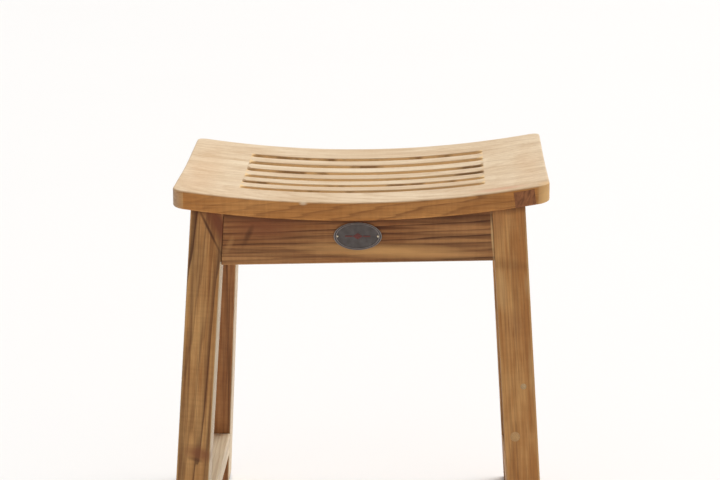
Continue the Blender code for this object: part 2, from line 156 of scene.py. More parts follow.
class StoolFinish(bpy.types.PropertyGroup):
    top_light: colour("Seat top, light", "Bleached early wood of the seat's top", (0.84, 0.69, 0.49))
    top_middle: colour("Seat top, middle", "Bleached heartwood of the seat's top", (0.655, 0.475, 0.29))
    top_dark: colour("Seat top, dark", "Ring lines of the seat's top", (0.44, 0.26, 0.12))
    edge_light: colour("Seat edge, light", "Early wood of the seat's edges", (0.595, 0.275, 0.080))
    edge_middle: colour("Seat edge, middle", "Heartwood of the seat's edges", (0.47, 0.19, 0.045))
    edge_dark: colour("Seat edge, dark", "Ring lines of the seat's edges", (0.15, 0.048, 0.012))
    # Slot walls: fresh-cut wood, made paler as painted light so that the recess looks lit.
    wall: colour("Slot walls", "Fresh wood inside the drain slots", (0.84, 0.58, 0.29))
    end: colour("End grain", "Greyed end grain of the seat", (0.52, 0.365, 0.25))
    stain: colour("Stain", "Reddish streak at the seat's front right", (0.62, 0.30, 0.17))
    sapwood: colour("Sapwood", "Golden corner at the seat's front right", (0.74, 0.45, 0.18))
    frame_light: colour("Frame, light", "Early wood of the legs and rails", (0.61, 0.325, 0.118))
    frame_middle: colour("Frame, middle", "Heartwood of the legs and rails", (0.43, 0.185, 0.055))
    frame_dark: colour("Frame, dark", "Ring lines and streaks of the frame", (0.075, 0.024, 0.009))
    frame_red: colour("Frame, red", "Reddish heart of the darkest boards", (0.24, 0.078, 0.03))
    # Frame, inner: painted light, the pale cream of the left pieces' inner faces where the light from the
    # right falls on them.
    inner: colour("Frame, inner", "Bleached inner faces of the left legs and stretcher", (0.86, 0.71, 0.50))
    worn: colour("Worn", "Arrises rubbed pale", (0.66, 0.42, 0.19))
    plug: colour("Plug", "End grain of the plugs", (0.62, 0.42, 0.22))
    badge: colour("Badge", "Dark patina of the plate", (0.085, 0.070, 0.064))
    badge_worn: colour("Badge, worn", "Rubbed high points of the plate", (0.125, 0.108, 0.10))
    badge_mark: colour("Badge, mark", "Paint in the plate's plain motif", (0.16, 0.03, 0.022))
    brass: colour("Brass", "The badge's pins", (0.90, 0.78, 0.56))
    steel: colour("Steel", "Screws", (0.55, 0.54, 0.52))
    rubber: colour("Rubber", "Foot pads", (0.025, 0.024, 0.023))
    floor: colour("Floor", "Plain studio floor", (0.875, 0.866, 0.858))


class StoolStage(bpy.types.PropertyGroup):
    camera_place: bpy.props.FloatVectorProperty(
        name="Camera", description="Where the camera stands", default=(0.0919, -2.8926, 1.0455),
        size=3, subtype="TRANSLATION", unit="LENGTH", precision=4,
    )
    camera_pan: angle("Pan", "Turn to the left", 1.857)
    camera_tilt: angle("Tilt", "Below the horizon", 13.178)
    camera_roll: angle("Roll", "About the line of sight", -0.235)
    camera_lens: amount("Lens", "Focal length in millimetres", 121.57, min=1.0)
    sky: amount("Sky", "Brightness of the surroundings above the horizon", 0.42, min=0.0)
    horizon: amount("Horizon", "Brightness of the surroundings near the horizon", 1.0, min=0.0)
    sun: amount("Sun", "Strength of the wide light from above and behind", 2.62, min=0.0)
    sun_height: angle("Sun height", "Above the horizon", 62)
    sun_side: angle("Sun side", "From straight behind towards the right", 45)
    sun_spread: angle("Sun spread", "How wide and soft the light is", 50)


GROUPS = {
    "stool_seat": StoolSeatSizes,
    "stool_frame": StoolFrameSizes,
    "stool_badge": StoolBadgeSizes,
    "stool_fittings": StoolFittingSizes,
    "stool_finish": StoolFinish,
    "stool_stage": StoolStage,
}

# ---------------------------------------------------------------- modelling helpers


def deselect():
    for obj in bpy.context.selected_objects:
        obj.select_set(False)


def make_active(obj):
    deselect()
    obj.select_set(True)
    bpy.context.view_layer.objects.active = obj


def edit(obj, work):
    """Runs some work on an object in edit mode."""
    make_active(obj)
    bpy.ops.object.mode_set(mode="EDIT")
    work()
    bpy.ops.object.mode_set(mode="OBJECT")


def pick(obj, kind, test):
    """Selects the vertices, edges or faces that pass a test, and nothing else."""
    kinds = ("vertices", "edges", "polygons")
    bpy.context.tool_settings.mesh_select_mode = [kind == other for other in kinds]
    for other in kinds:
        part = getattr(obj.data, other)
        part.foreach_set("select", [False] * len(part))
    for item in getattr(obj.data, kind):
        item.select = bool(test(item))


def ends_of(obj, edge):
    return [obj.data.vertices[index].co for index in edge.vertices]


def bevel_selected(obj, width, segments):
    edit(obj, lambda: bpy.ops.mesh.bevel(
        offset=width, segments=segments, affect="EDGES", clamp_overlap=False))


def bevel_edges(obj, test, width, segments):
    """Eases the edges that pass a test and marks the narrow faces this makes as worn."""
    pick(obj, "edges", lambda edge: test(*ends_of(obj, edge)))
    bevel_selected(obj, width, segments)
    wear = obj.data.attributes.get("wear") or obj.data.attributes.new("wear", "FLOAT", "FACE")
    for face, value in zip(obj.data.polygons, wear.data):
        if face.select and face.area < width * outline(obj, face):
            value.value = 1.0


def outline(obj, face):
    """The length of a face's outline."""
    corners = [obj.data.vertices[index].co for index in face.vertices]
    return sum((corner - corners[place - 1]).length for place, corner in enumerate(corners))


def finish_primitive(name, size=(1, 1, 1)):
    """Names the primitive just added, and applies its place and size."""
    obj = bpy.context.active_object
    obj.name = name
    obj.scale = size
    bpy.ops.object.transform_apply(location=True, rotation=True, scale=True)
    return obj


def add_block(name, low, high):
    low, high = Vector(low), Vector(high)
    deselect()
    bpy.ops.mesh.primitive_cube_add(size=1, location=(low + high) / 2)
    return finish_primitive(name, high - low)


def add_disc(name, radius, depth, sides, bottom=0.0):
    """An upright cylinder that stands at this height."""
    deselect()
    bpy.ops.mesh.primitive_cylinder_add(
        vertices=sides, radius=radius, depth=depth, location=(0, 0, bottom + depth / 2))
    return finish_primitive(name)


def duplicate(obj, name):
    copy = bpy.data.objects.new(name, obj.data.copy())
    bpy.context.scene.collection.objects.link(copy)
    return copy


def discard(*objects):
    for obj in objects:
        bpy.data.objects.remove(obj, do_unlink=True)


def apply_boolean(obj, other, operation="DIFFERENCE"):
    modifier = obj.modifiers.new(operation.lower(), "BOOLEAN")
    modifier.operation = operation
    modifier.solver = "EXACT"
    modifier.object = other
    make_active(obj)
    bpy.ops.object.modifier_apply(modifier=modifier.name)


def join(objects):
    deselect()
    for obj in objects:
        obj.select_set(True)
    bpy.context.view_layer.objects.active = objects[0]
    bpy.ops.object.join()
    return objects[0]


def cut_across(obj, cuts, axis, **settings):
    """Cuts all faces at each (place, side) along an axis."""
    normal = Vector((axis == 0, axis == 1, axis == 2))

    def work():
        for place, side in cuts:
            bpy.ops.mesh.select_all(action="SELECT")
            bpy.ops.mesh.bisect(
                plane_co=normal * place, plane_no=normal * side, threshold=WELD, **settings)

    edit(obj, work)


def slice_mesh(obj, places, axis):
    """Cuts every face at these places along an axis, and takes nothing away."""
    cut_across(obj, [(place, 1) for place in places], axis)


def keep_between(obj, low, high, axis):
    """Saws off what lies outside two places along an axis, and closes the cuts."""
    cut_across(obj, ((low, -1), (high, 1)), axis, use_fill=True, clear_outer=True)


def place_mesh(obj, matrix):
    """Moves the mesh itself, so that the object stays at the origin."""
    obj.data.transform(matrix)
    obj.data.update()


def shade(obj, degrees=35):
    """Smooths the arrises and leaves the broad faces flat."""
    make_active(obj)
    bpy.ops.object.shade_smooth_by_angle(angle=math.radians(degrees))
    modifier = obj.modifiers.new("broad_faces", "WEIGHTED_NORMAL")
    modifier.keep_sharp = True
    bpy.ops.object.modifier_apply(modifier=modifier.name)


def settle(obj, nodes, material, degrees=35):
    """Gives a finished piece its finish and its body, and hides the nodes that it stands for."""
    obj.data.materials.clear()
    obj.data.materials.append(material)
    shade(obj, degrees)
    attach(obj, BODY)
    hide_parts(*nodes)


def weld_flat(obj, near, degrees):
    """Merges points this near to each other, and faces this close to one plane."""

    def work():
        bpy.ops.mesh.select_all(action="SELECT")
        bpy.ops.mesh.remove_doubles(threshold=near)
        bpy.ops.mesh.dissolve_limited(angle_limit=math.radians(degrees))

    edit(obj, work)


def merged_node(name, node):
    """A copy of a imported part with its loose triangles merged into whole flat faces."""
    copy = duplicate(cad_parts[node], name)
    for key in list(copy.keys()):
        del copy[key]
    weld_flat(copy, WELD, 0.3)
    return copy


# ---------------------------------------------------------------- material helpers


def new_material(name):
    material = bpy.data.materials.new(name)
    material.use_nodes = True
    tree = material.node_tree
    return material, tree, tree.nodes["Principled BSDF"]


def add_node(tree, kind, inputs=None, **settings):
    node = tree.nodes.new(kind)
    for key, value in settings.items():
        setattr(node, key, value)
    for key, value in (inputs or {}).items():
        if isinstance(value, bpy.types.NodeSocket):
            tree.links.new(value, node.inputs[key])
        else:
            node.inputs[key].default_value = value
    return node


def calc(tree, operation, *values):
    return add_node(tree, "ShaderNodeMath", dict(enumerate(values)), operation=operation).outputs[0]


def stretch(tree, vector, scale):
    inputs = {0: vector, 1: scale}
    return add_node(tree, "ShaderNodeVectorMath", inputs, operation="MULTIPLY").outputs[0]


def noise(tree, vector, detail=2.0, roughness=0.5, distortion=0.0, scale=1.0):
    inputs = {
        "Vector": vector, "Scale": scale, "Detail": detail,
        "Roughness": roughness, "Distortion": distortion,
    }
    return add_node(tree, "ShaderNodeTexNoise", inputs).outputs[0]


def ramp(tree, value, *stops):
    """Turns a value into another through (place, level) stops."""
    node = add_node(tree, "ShaderNodeValToRGB", {0: value})
    elements = node.color_ramp.elements
    while len(elements) < len(stops):
        elements.new(1.0)
    for element, (place, level) in zip(elements, stops):
        element.position = place
        element.color = (level, level, level, 1)
    return node.outputs[0]


def blend(tree, factor, first, second):
    inputs = {0: factor}
    for key, value in ((6, first), (7, second)):
        inputs[key] = value if isinstance(value, bpy.types.NodeSocket) else (*value, 1)
    return add_node(tree, "ShaderNodeMix", inputs, data_type="RGBA").outputs[2]


def scaled(tree, value, gain, offset):
    return calc(tree, "MULTIPLY_ADD", value, gain, offset)


def bump(tree, shader, height, distance, strength=1.0):
    inputs = {"Height": height, "Distance": distance, "Strength": strength}
    node = add_node(tree, "ShaderNodeBump", inputs)
    tree.links.new(node.outputs[0], shader.inputs["Normal"])


def object_place(tree):
    return add_node(tree, "ShaderNodeTexCoord").outputs["Object"]


def attribute(tree, name):
    return add_node(tree, "ShaderNodeAttribute", attribute_name=name).outputs["Fac"]


def swatch(name):
    """One of the colours that the panel sets."""
    return Vector(getattr(bpy.context.scene.stool_finish, name))


def coat(tree, shader, base, roughness):
    tree.links.new(base, shader.inputs["Base Color"])
    tree.links.new(roughness, shader.inputs["Roughness"])


def mottled(name, tones, scale, spread, gloss, grit=None, depth=0.00003, metallic=0.0, worn=None,
            detail=3.0, rough=0.6):
    """Two tones mixed by a fine mottle. spread: the mix's stops; gloss: the roughness's gain and
    offset; grit and depth: scale and height of the relief, which follows the mottle if no scale is
    given; worn: the tone of rubbed arrises."""
    material, tree, shader = new_material(name)
    place = object_place(tree)
    mottle = noise(tree, place, detail, rough, 0.0, scale)
    base = blend(tree, ramp(tree, mottle, *spread), *tones)
    if worn is not None:
        base = blend(tree, attribute(tree, "wear"), base, worn)
    coat(tree, shader, base, scaled(tree, mottle, *gloss))
    shader.inputs["Metallic"].default_value = metallic
    if depth:
        relief = noise(tree, place, 2.0, 0.5, 0.0, grit) if grit else mottle
        bump(tree, shader, relief, depth)
    return material


# ---------------------------------------------------------------- teak

# How a piece was sawn from the log. axis: direction of the grain; pith: where the middle of the
# log lies across the grain, from the middle of the piece; ring: spacing of the year rings;
# lean: how fast the rings run out of the piece; seed: which part of the log it is.
Sawn = namedtuple("Sawn", "middle axis pith ring lean seed")

# What a teak finish looks like. light, middle, dark: tones; rings, streaks, grain, pores, ripple:
# how strong each figure is; clouds: how far the tone drifts.
Tones = namedtuple("Tones", "light middle dark rings streaks grain pores ripple clouds")

# A stain, a rubbed spot or a patch of painted shade: its middle, how far it reaches along X, Y
# and Z, its turn about Y, its tone and its strength.
Mark = namedtuple("Mark", "middle reach tilt tone strength")

# The masks of one piece of wood, which every finish on it shares.
Figure = namedtuple("Figure", "fibres cloud rings streaks grain pores ripple")


def log_coordinates(tree, sawn):
    """Object coordinates turned so that X runs along the grain, with the pith on the X axis."""
    turn = Vector(sawn.axis).rotation_difference(Vector((1, 0, 0)))
    across = Vector((sawn.seed * 0.731, -sawn.pith[0], -sawn.pith[1]))
    offset = across - (turn @ Vector(sawn.middle))
    inputs = {"Vector": object_place(tree), "Location": offset, "Rotation": turn.to_euler()}
    return add_node(tree, "ShaderNodeMapping", inputs, vector_type="POINT").outputs[0]


def grain_noise(tree, log, along, across, *settings):
    """Noise with about this many features in a metre along the grain and across it."""
    return noise(tree, stretch(tree, log, (along, across, across)), *settings)


def ring_lines(tree, log, sawn):
    """Late wood of the year rings: 0 in the pale wood, 1 in the dark line."""
    wander = 0.011
    parts = add_node(tree, "ShaderNodeSeparateXYZ", {0: log})
    slow = stretch(tree, log, (2.6, 11.0, 11.0))
    drift = add_node(tree, "ShaderNodeTexNoise", {"Vector": slow, "Scale": 1.0, "Detail": 1.5})
    shift = add_node(tree, "ShaderNodeSeparateXYZ", {0: drift.outputs[1]})
    y = scaled(tree, shift.outputs[0], wander, parts.outputs[1])
    z = scaled(tree, shift.outputs[1], wander, parts.outputs[2])
    square = calc(tree, "ADD", calc(tree, "MULTIPLY", y, y), calc(tree, "MULTIPLY", z, z))
    run = scaled(tree, parts.outputs[0], sawn.lean, calc(tree, "SQRT", square))
    uneven = grain_noise(tree, log, 1.5, 160.0, 1.0)
    count = scaled(tree, uneven, 1.1, calc(tree, "DIVIDE", run, sawn.ring))
    stops = ((0.0, 0.5), (0.07, 0.0), (0.50, 0.06), (0.78, 0.40), (0.92, 1.0), (1.0, 0.9))
    line = ramp(tree, calc(tree, "FRACT", count), *stops)
    whole = {"W": calc(tree, "FLOOR", count)}
    year = add_node(tree, "ShaderNodeTexWhiteNoise", whole, noise_dimensions="1D").outputs[0]
    return calc(tree, "MULTIPLY", line, scaled(tree, year, 0.65, 0.35))


def wood_figure(tree, log, sawn):
    """Fibres, slow clouds, ring lines, long streaks, fine grain, pores and cross ripple."""
    streaks = grain_noise(tree, log, 2.4, 70.0, 4.0, 0.66, 0.5)
    grain = grain_noise(tree, log, 5.0, 240.0, 2.5, 0.6, 0.3)
    pores = grain_noise(tree, log, 30.0, 1100.0, 2.0, 0.6)
    ripple = grain_noise(tree, log, 260.0, 30.0, 1.0, 0.5)
    return Figure(
        fibres=grain_noise(tree, log, 9.0, 330.0, 3.0, 0.68),
        cloud=grain_noise(tree, log, 7.0, 28.0, 3.0, 0.6),
        rings=ring_lines(tree, log, sawn),
        streaks=ramp(tree, streaks, (0.50, 0.0), (0.68, 1.0)),
        grain=ramp(tree, grain, (0.50, 0.0), (0.62, 1.0)),
        pores=ramp(tree, pores, (0.58, 0.0), (0.70, 1.0)),
        ripple=ramp(tree, ripple, (0.40, 0.0), (0.65, 1.0)),
    )


def wood_colour(tree, figure, tones):
    """The colour that one set of tones gives this figure."""
    drift = scaled(tree, figure.cloud, tones.clouds, -tones.clouds / 2)
    spread = scaled(tree, figure.fibres, 1.3, drift)
    base = blend(tree, ramp(tree, spread, (0.35, 0.0), (0.95, 1.0)), tones.light, tones.middle)
    for name in ("rings", "streaks", "grain", "pores", "ripple"):
        mask = calc(tree, "MULTIPLY", getattr(figure, name), getattr(tones, name))
        base = blend(tree, mask, base, tones.dark)
    return base


def spread_marks(tree, base, marks, figure):
    source = object_place(tree)
    for mark in marks:
        inputs = {"Vector": source, "Location": mark.middle, "Rotation": (0, mark.tilt, 0),
                  "Scale": mark.reach}
        local = add_node(tree, "ShaderNodeMapping", inputs, vector_type="TEXTURE").outputs[0]
        away = add_node(tree, "ShaderNodeVectorMath", {0: local}, operation="LENGTH")
        ragged = scaled(tree, figure.cloud, 1.0, calc(tree, "ADD", away.outputs["Value"], -0.5))
        near = ramp(tree, ragged, (0.35, mark.strength), (1.0, 0.0))
        base = blend(tree, near, base, mark.tone)
    return base


def slot_walls(tree, log):
    """Fresh-cut wood whose pale tone is raised as painted light inside the slots, with dark stretches."""
    patches = grain_noise(tree, log, 16.0, 9.0, 3.0, 0.6)
    dark = ramp(tree, patches, (0.55, 0.0), (0.63, 0.65))
    return blend(tree, dark, swatch("wall"), swatch("edge_dark"))


def teak(name, sawn, tones, top=None, roughness=0.50, marks=()):
    """Teak with arrises rubbed pale; top is a second finish for the seat's sun-faded top faces, and on the
    frame the painted light on the faces towards the light from the right.
    """
    material, tree, shader = new_material(name)
    log = log_coordinates(tree, sawn)
    figure = wood_figure(tree, log, sawn)
    base = wood_colour(tree, figure, tones)
    patchy = scaled(tree, figure.cloud, 2.0, -0.7)
    rub = calc(tree, "MULTIPLY", attribute(tree, "wear"), patchy)
    base = blend(tree, ramp(tree, rub, (0.0, 0.0), (1.0, 0.8)), base, swatch("worn"))
    if top:
        base = blend(tree, attribute(tree, "end"), base, wood_colour(tree, figure, end_tones()))
        # On the seat this blends in the sun-faded top; on the frame it paints light from the right onto the
        # left pieces' inner faces.
        ragged = scaled(tree, figure.fibres, 0.5, -0.25)
        weathered_and_lit = calc(tree, "ADD", attribute(tree, "weathering"), ragged)
        shown = ramp(tree, weathered_and_lit, (0.30, 0.0), (0.80, 1.0))
        base = blend(tree, shown, base, wood_colour(tree, figure, top))
        base = blend(tree, attribute(tree, "slot"), base, slot_walls(tree, log))
    base = spread_marks(tree, base, marks, figure)
    gloss = scaled(tree, figure.fibres, 0.22, roughness - 0.11)
    coat(tree, shader, base, scaled(tree, figure.pores, 0.2, gloss))
    shader.inputs["Specular IOR Level"].default_value = 0.22
    relief = scaled(tree, figure.rings, 0.35, calc(tree, "MULTIPLY", figure.fibres, 0.8))
    bump(tree, shader, scaled(tree, figure.pores, -0.6, relief), 0.00022, 0.7)
    return material


def top_tones(warm, rings, streaks):
    """The seat's sun-faded top; warm leans it towards the colour of its edges."""
    light = swatch("top_light").lerp(swatch("edge_light"), warm)
    middle = swatch("top_middle").lerp(swatch("edge_middle"), warm)
    return Tones(light, middle, swatch("top_dark"), rings, streaks,
                 grain=0.16, pores=0.30, ripple=0.05, clouds=1.5)


def edge_tones(rings, streaks):
    return Tones(swatch("edge_light"), swatch("edge_middle"), swatch("edge_dark"), rings, streaks,
                 grain=0.14, pores=0.25, ripple=0.12, clouds=1.6)


def frame_tones(rings=0.55, streaks=0.35, pale=0.0, red=0.0, ripple=0.10, grain=0.42, clouds=2.0):
    """The frame's teak; pale leans it towards the seat's edges, and red towards its dark heart."""
    heart = swatch("frame_red")
    light = swatch("frame_light").lerp(swatch("edge_light"), pale).lerp(heart * 1.35, red)
    middle = swatch("frame_middle").lerp(swatch("edge_middle"), pale).lerp(heart, red)
    return Tones(light, middle, swatch("frame_dark"), rings, streaks, grain, 0.28, ripple, clouds)


def end_tones():
    """The greyed end grain of the seat."""
    end = swatch("end")
    return Tones(end, end * 0.72, swatch("edge_dark"), rings=0.6, streaks=0.3,
                 grain=0.2, pores=0.4, ripple=0.0, clouds=1.4)


def side_lit_tones():
    """Painted light: the pale cream that the light from the right throws on the left side's inner faces."""
    inner = swatch("inner")
    return Tones(inner, inner * 0.78, swatch("top_dark"), rings=0.4, streaks=0.3,
                 grain=0.3, pores=0.3, ripple=0.0, clouds=1.2)


def mark_side_lit(obj, test):
    """Marks the faces that pass a test as the pale inner ones, which carry painted light from the right."""
    weathering = obj.data.attributes.new("weathering", "FLOAT", "FACE")
    for face, value in zip(obj.data.polygons, weathering.data):
        value.value = float(test(face))


def centre_of(node):
    low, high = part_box(node)
    return (low + high) / 2


# ---------------------------------------------------------------- seat


def dish(x):
    sizes = bpy.context.scene.stool_seat
    half = (SEAT_HIGH.x - SEAT_LOW.x) / 2
    return sizes.dish_rise * ((x - sizes.dish_offset) / half) ** 2


def scoop(y):
    sizes = bpy.context.scene.stool_seat
    half = (SEAT_HIGH.y - SEAT_LOW.y) / 2
    return sizes.scoop_depth * (1 + math.cos(math.pi * y / half)) / 2


def slot_pitch():
    return SLAT_HIGH.y - SLAT_LOW.y + BOARD_GAP


def joint_lines():
    """Where the seat's boards meet, from front to back."""
    count = len(BOARDS) - 1
    return [slot_pitch() * (number - (count - 1) / 2) for number in range(count)]


def slot_cutter(thickness):
    """Six round-ended blocks, one through each slot."""
    sizes = bpy.context.scene.stool_seat
    half_length, half_width = sizes.slot_length / 2, sizes.slot_width / 2
    middle = (SEAT_LOW.x + SEAT_HIGH.x) / 2
    blocks = []
    for y in joint_lines():
        low = (middle - half_length, y - half_width, -thickness)
        block = add_block("slot", low, (middle + half_length, y + half_width, thickness))
        bevel_edges(block, lambda a, b: abs(a.z - b.z) > thickness, half_width - 2 * WELD, 8)
        blocks.append(block)
    return join(blocks)


def seat_blank():
    """The whole seat in one flat piece, with its corners, slots and eased edges."""
    sizes = bpy.context.scene.stool_seat
    half = sizes.thickness / 2
    low = (SEAT_LOW.x, SEAT_LOW.y, -half)
    blank = add_block("seat_blank", low, (SEAT_HIGH.x, SEAT_HIGH.y, half))
    bevel_edges(blank, lambda a, b: abs(a.z - b.z) > half, sizes.corner_radius, 8)
    cutter = slot_cutter(sizes.thickness)
    apply_boolean(blank, cutter)
    discard(cutter)

    beside, behind = 0.012, 0.001
    field_x = sizes.slot_length / 2 + beside
    field_y = joint_lines()[-1] + sizes.slot_width / 2 + behind

    def on_face(a, b):
        return abs(a.z - b.z) < WELD and abs(abs(a.z) - half) < WELD

    def in_slot(a, b):
        inside = max(abs(a.x), abs(b.x)) < field_x and max(abs(a.y), abs(b.y)) < field_y
        return on_face(a, b) and inside

    def on_rim(a, b):
        return on_face(a, b) and not in_slot(a, b)

    weld_flat(blank, 3 * WELD, 0.2)
    ease_open_edges(blank, on_rim, sizes.rim_arris, 4)
    ease_open_edges(blank, in_slot, sizes.slot_arris, 3)
    return blank


def ease_open_edges(obj, test, width, segments):
    """Bevels only the edges between a level face and an upright one."""
    slopes = {}
    for face in obj.data.polygons:
        for key in face.edge_keys:
            slopes.setdefault(key, []).append(abs(face.normal.z))
    arris = {
        key for key, found in slopes.items()
        if len(found) == 2 and max(found) > 0.99 and min(found) < 0.01
    }
    pick(obj, "edges", lambda edge: edge.key in arris and test(*ends_of(obj, edge)))
    bevel_selected(obj, width, segments)


def dish_seat(blank):
    """Slices the flat seat finely, marks its sun-faded top and sinks it to its hollow."""
    sizes = bpy.context.scene.stool_seat
    steps = 54
    top_start, right_share = 0.86, 0.35
    width = SEAT_HIGH.x - SEAT_LOW.x
    slice_mesh(blank, [SEAT_LOW.x + width * step / steps for step in range(1, steps)], 0)
    lines = joint_lines()
    middles = [(first + second) / 2 for first, second in zip(lines, lines[1:])]
    rims = [side * y for side in (-1, 1) for y in (0.104, 0.116, 0.128, 0.140, 0.150)]
    slice_mesh(blank, middles + rims, 1)
    names = ("weathering", "end", "slot")
    values = {name: blank.data.attributes.new(name, "FLOAT", "POINT") for name in names}
    past_slot, rounding = 0.0005, sizes.corner_radius
    field_x = sizes.slot_length / 2 + past_slot
    middle = (SEAT_LOW.x + SEAT_HIGH.x) / 2
    for number, vert in enumerate(blank.data.vertices):
        x, y, z = vert.co
        height = z / sizes.thickness + 0.5
        top = max(0.0, min(1.0, (height - top_start) / (1 - top_start)))
        reach = min(abs(y - line) for line in lines) - sizes.slot_width / 2
        in_slot = abs(x - middle) < field_x and reach < NEAR
        left = SEAT_LOW.x + rounding - x
        right = x - SEAT_HIGH.x + rounding
        near_end = max(left, right_share * right, 0) / rounding
        for name, level in zip(names, (top, near_end * (1 - top), float(in_slot))):
            values[name].data[number].value = level
        vert.co.z = sizes.rim_height + dish(x) - scoop(y) * height - sizes.thickness * (1 - height)
    blank.data.update()


# The boards from front to back. warm, rings: of the top; pith, lean, ring: as in Sawn.
BoardWood = namedtuple("BoardWood", "warm rings pith lean ring")
BOARD_WOOD = (
    BoardWood(0.10, 0.55, (0.022, -0.052), -0.17, 0.0090),
    BoardWood(0.04, 0.30, (0.05, -0.06), 0.03, 0.0056),
    BoardWood(0.0, 0.25, (-0.04, -0.07), -0.04, 0.006),
    BoardWood(0.05, 0.34, (0.02, -0.05), 0.035, 0.0054),
    BoardWood(0.02, 0.26, (-0.06, -0.05), -0.03, 0.006),
    BoardWood(0.05, 0.30, (0.045, -0.08), 0.04, 0.0057),
    BoardWood(0.06, 0.36, (-0.05, -0.06), -0.035, 0.0062),
)


def board_teak(number, node):
    """One board's teak, from its own place in the log."""
    wood = BOARD_WOOD[number]
    sawn = Sawn(centre_of(node), (1, 0, 0), wood.pith, wood.ring, wood.lean, number + 1)
    edge = edge_tones(wood.rings + 0.05, 0.25)
    top = top_tones(wood.warm, wood.rings * 0.9, 0.22)
    return teak(f"teak_{node}", sawn, edge, top, 0.46, seat_marks())


def seat_marks():
    """Warm ends, a reddish streak at the front right, a rubbed spot and a golden corner."""
    warm = swatch("edge_light")
    return (
        Mark((-0.188, -0.03, 0.466), (0.030, 0.16, 0.03), 0.0, warm, 0.22),
        Mark((0.168, -0.146, 0.462), (0.045, 0.012, 0.012), 0.0, swatch("stain"), 0.55),
        Mark((0.200, -0.02, 0.470), (0.022, 0.12, 0.02), 0.0, warm, 0.15),
        Mark((-0.062, -0.160, 0.4485), (0.006, 0.006, 0.003), 0.0, swatch("top_light"), 0.6),
        Mark((0.217, -0.153, 0.455), (0.013, 0.020, 0.030), 0.0, swatch("sapwood"), 0.8),
    )


class STOOL_OT_seat(bpy.types.Operator):
    """Shape the dished seat as one slotted blank, then saw it into its seven glued boards"""

    bl_idname = "stool.seat"
    bl_label = "Seat boards"

    def execute(self, context):
        seam = context.scene.stool_seat.seam
        blank = seat_blank()
        dish_seat(blank)
        lines = [SEAT_LOW.y - 1, *joint_lines(), SEAT_HIGH.y + 1]
        for number, node in enumerate(BOARDS):
            board = duplicate(blank, f"teak_{node}")
            keep_between(board, lines[number] + seam / 2, lines[number + 1] - seam / 2, 1)
            settle(board, [node], board_teak(number, node))
        discard(blank)
        return {"FINISHED"}


class STOOL_OT_patch(bpy.types.Operator):
    """Let a darker block into the seat's front edge"""

    bl_idname = "stool.patch"
    bl_label = "Seat patch"

    def execute(self, context):
        past, clearance = 0.002, 0.0001
        board = bpy.data.objects["teak_seat_front_board"]
        block = merged_node("patch_block", "seat_patch")
        room = merged_node("patch_room", "seat_patch")
        middle = centre_of("seat_patch")
        for obj, grow in ((block, 0.0), (room, clearance)):
            for vert in obj.data.vertices:
                away = vert.co - middle
                vert.co.x += math.copysign(grow, away.x)
                vert.co.y += grow if away.y > 0 else -past
                vert.co.z += grow if away.z > 0 else -past
        patch = duplicate(board, "teak_seat_patch")
        patch.parent = None
        apply_boolean(patch, block, "INTERSECT")
        apply_boolean(board, room)
        discard(block, room)
        tones = frame_tones(rings=0.5, streaks=0.4, red=0.8)
        sawn = Sawn(middle, (0.5, 0.2, 1.0), (0.03, 0.02), 0.004, 0.05, 31)
        settle(patch, ["seat_patch"], teak("teak_seat_patch", sawn, tones))
        shade(board)
        return {"FINISHED"}


# ---------------------------------------------------------------- frame


def unsplayed(point):
    """The plan place that a point of the frame has at rim height."""
    sizes = bpy.context.scene.stool_frame
    drop = bpy.context.scene.stool_seat.rim_height - point.z
    return (abs(point.x) - sizes.splay_x * drop, abs(point.y) - sizes.splay_y * drop)


def plan_range(node):
    places = [unsplayed(vert.co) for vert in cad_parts[node].data.vertices]
    return [(min(axis), max(axis)) for axis in zip(*places)]


def leg_axis(right, front):
    sizes = bpy.context.scene.stool_frame
    return Vector((right * sizes.splay_x, front * sizes.splay_y, -1)).normalized()


# pith, ring, lean, seed: as in Sawn; tones: what differs from frame_tones.
FrameWood = namedtuple("FrameWood", "pith ring lean seed tones")
FRAME_WOOD = {
    "leg_front_left": FrameWood((0.050, -0.030), 0.0055, 0.035, 11, dict(rings=0.9, streaks=0.6)),
    "leg_front_right": FrameWood(
        (0.004, 0.085), 0.0040, 0.010, 12,
        dict(rings=0.22, streaks=0.15, pale=0.25, ripple=0.04, grain=0.22, clouds=3.2)),
    "leg_back_left": FrameWood(
        (-0.05, 0.03), 0.0052, 0.03, 13, dict(rings=0.5, streaks=0.4, red=0.55)),
    "leg_back_right": FrameWood(
        (0.04, 0.05), 0.0050, -0.03, 14, dict(rings=0.6, streaks=0.4, pale=0.15)),
    "apron_front": FrameWood(
        (0.03, -0.075), 0.0068, -0.045, 21, dict(rings=0.9, streaks=0.7, red=0.4)),
    "apron_back": FrameWood((-0.03, 0.06), 0.0062, 0.02, 22, dict(rings=0.6, streaks=0.6)),
    "apron_left": FrameWood((0.04, 0.06), 0.0060, 0.02, 23, dict(rings=0.6, streaks=0.5, pale=0.1)),
    "apron_right": FrameWood(
        (-0.04, 0.06), 0.0060, -0.02, 24, dict(rings=0.6, streaks=0.5, pale=0.1)),
    "stretcher_left": FrameWood(
        (0.05, 0.04), 0.0055, 0.02, 25, dict(rings=0.5, streaks=0.3, pale=0.5)),
    "stretcher_right": FrameWood(
        (-0.05, 0.04), 0.0055, 0.02, 26, dict(rings=0.5, streaks=0.3, pale=0.4)),
    "seat_cleat_left": FrameWood(
        (0.03, 0.05), 0.0060, 0.02, 27, dict(rings=0.5, streaks=0.3, pale=0.2)),
    "seat_cleat_right": FrameWood(
        (0.03, 0.05), 0.0060, 0.02, 28, dict(rings=0.5, streaks=0.3, pale=0.2)),
}


def front_mark(x, z, wide, tall, tone, strength, tilt=0.0, y=-0.158):
    """A mark on the front face, which lies at about y."""
    return Mark((x, y, z), (wide, 0.10, tall), tilt, tone, strength)


